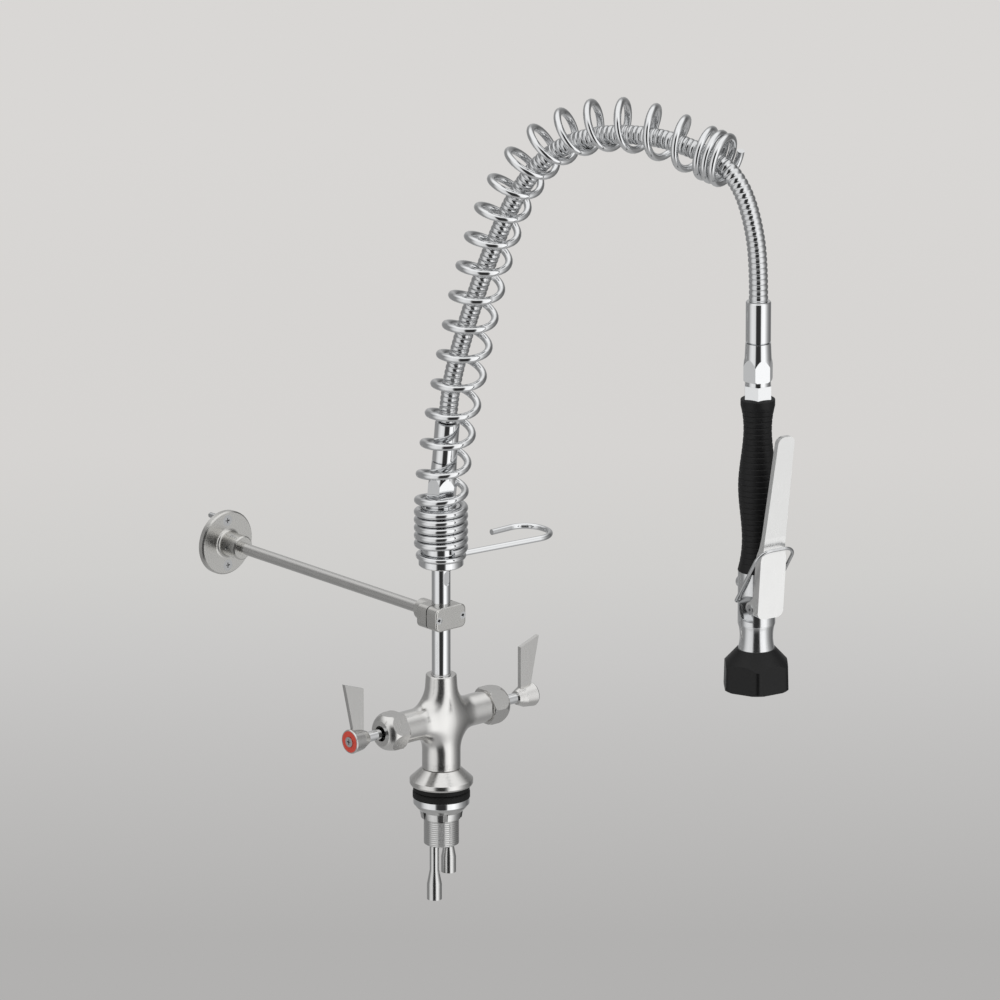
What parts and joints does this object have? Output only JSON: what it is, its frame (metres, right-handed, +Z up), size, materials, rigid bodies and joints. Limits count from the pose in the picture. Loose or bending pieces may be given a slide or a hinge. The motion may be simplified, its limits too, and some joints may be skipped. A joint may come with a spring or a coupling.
{
  "type": "pre rinse faucet",
  "caption": "Deck-mounted two-handle pre rinse faucet: riser with wall bracket, sprung overhead hose arch, dish hook and a trigger spray gun.",
  "frame": {"origin": "on the column's axis at the top face of the deck (underside of the deck gasket)", "axes": "+Z up along the column, +X along the valve arms to the cold handle, -Y to the user, +Y to the wall"},
  "size_m": [0.2342, 0.6381, 0.7244],
  "materials": {
    "brushed_steel": "satin, fine brushed",
    "lever_steel": "bright satin sheet",
    "polished_chrome": "mirror chrome plate",
    "spring_chrome": "chrome-plated spring wire",
    "hose_armour": "interlocked stainless armour",
    "plated_brass": "nickel-plated turned brass",
    "cartridge_brass": "turned brass",
    "screw_steel": "bright stainless",
    "plate_steel": "punched stainless sheet",
    "grip_rubber": "ribbed matt black rubber",
    "bumper_rubber": "moulded satin black rubber",
    "gasket_rubber": "matt black rubber",
    "seal_rubber": "nitrile seal rubber",
    "red_ring": "moulded red index ring",
    "blue_ring": "moulded blue index ring"
  },
  "bodies": {
    "base": {"mixer_body": "brushed_steel", "base_flange": "brushed_steel", "deck_gasket": "gasket_rubber", "under_deck_gasket": "gasket_rubber", "clamp_washer": "plated_brass", "lock_nut": "plated_brass", "threaded_shank": "plated_brass", "hot_supply_tail": "plated_brass", "cold_supply_tail": "plated_brass", "hot_cartridge": "cartridge_brass", "cold_cartridge": "cartridge_brass", "hot_bonnet_nut": "polished_chrome", "cold_bonnet_nut": "polished_chrome", "riser_tube": "polished_chrome", "front_clamp": "brushed_steel", "rear_clamp": "brushed_steel", "clamp_screws": "screw_steel", "wall_rod": "polished_chrome", "wall_flange": "brushed_steel", "wall_grub_screw": "screw_steel", "wall_screws": "screw_steel", "spring_seat": "polished_chrome"},
    "hot_valve": {"hot_spindle": "polished_chrome", "hot_handle": "brushed_steel", "hot_index_ring": "red_ring", "hot_handle_screw": "screw_steel"},
    "cold_valve": {"cold_spindle": "polished_chrome", "cold_handle": "brushed_steel", "cold_index_ring": "blue_ring", "cold_handle_screw": "screw_steel"},
    "hook": {"dish_hook": "polished_chrome"},
    "overhead": {"swivel_adapter": "cartridge_brass", "swivel_o_rings": "seal_rubber", "lower_hose_nut": "polished_chrome", "lower_hose_washer": "seal_rubber", "lower_ferrule": "polished_chrome", "spray_hose": "hose_armour", "upper_ferrule": "polished_chrome", "support_spring": "spring_chrome"},
    "spray_gun": {"spray_body": "polished_chrome", "upper_hose_nut": "polished_chrome", "upper_hose_washer": "seal_rubber", "gun_inlet": "polished_chrome", "handle_tube": "cartridge_brass", "grip_sleeve": "grip_rubber", "nozzle_cone": "polished_chrome", "spray_plate": "plate_steel", "bumper": "bumper_rubber", "valve_cap": "polished_chrome", "stem_gland": "cartridge_brass", "valve_seal": "seal_rubber", "pivot_pin": "screw_steel", "valve_spring": "screw_steel"},
    "trigger": {"trigger_lever": "lever_steel"},
    "push_stem": {"valve_stem": "screw_steel"},
    "hold_bail": {"hold_bail": "screw_steel"}
  },
  "joints": [
    {"name": "hot_valve_turn", "type": "hinge", "parent": "base", "child": "hot_valve", "pos_m": [-0.084, 0, 0.064], "axis": [1, 0, 0], "range_deg": [0, 90]},
    {"name": "cold_valve_turn", "type": "hinge", "parent": "base", "child": "cold_valve", "pos_m": [0.084, 0, 0.064], "axis": [1, 0, 0], "range_deg": [0, 90]},
    {"name": "hook_turn", "type": "hinge", "parent": "base", "child": "hook", "pos_m": [0, 0, 0.2078], "axis": [0, 0, 1], "continuous": true},
    {"name": "arch_swivel", "type": "hinge", "parent": "base", "child": "overhead", "pos_m": [0, 0, 0.2405], "axis": [0, 0, 1], "range_deg": [-125, 90]},
    {"name": "gun_swivel", "type": "hinge", "parent": "overhead", "child": "spray_gun", "pos_m": [0.09646, -0.28829, 0.4331], "axis": [0, 0, 1], "continuous": true},
    {"name": "trigger_squeeze", "type": "hinge", "parent": "spray_gun", "child": "trigger", "pos_m": [0.09505, -0.29718, 0.211], "axis": [-0.9877, 0.1564, 0], "range_deg": [0, 7], "stiffness_Nm_per_rad": 2, "springref_deg": -5.73},
    {"name": "stem_push", "type": "slide", "parent": "spray_gun", "child": "push_stem", "axis": [0.1564, 0.9877, 0], "range_m": [0, 0.0019], "deforming": ["valve_spring"]},
    {"name": "bail_swing", "type": "hinge", "parent": "spray_gun", "child": "hold_bail", "pos_m": [0.09709, -0.28434, 0.216], "axis": [-0.9877, 0.1564, 0], "range_deg": [-85, 0]}
  ],
  "couplings": [
    {"joint": "stem_push", "follows": "trigger_squeeze", "m_per_rad": 0.015}
  ]
}
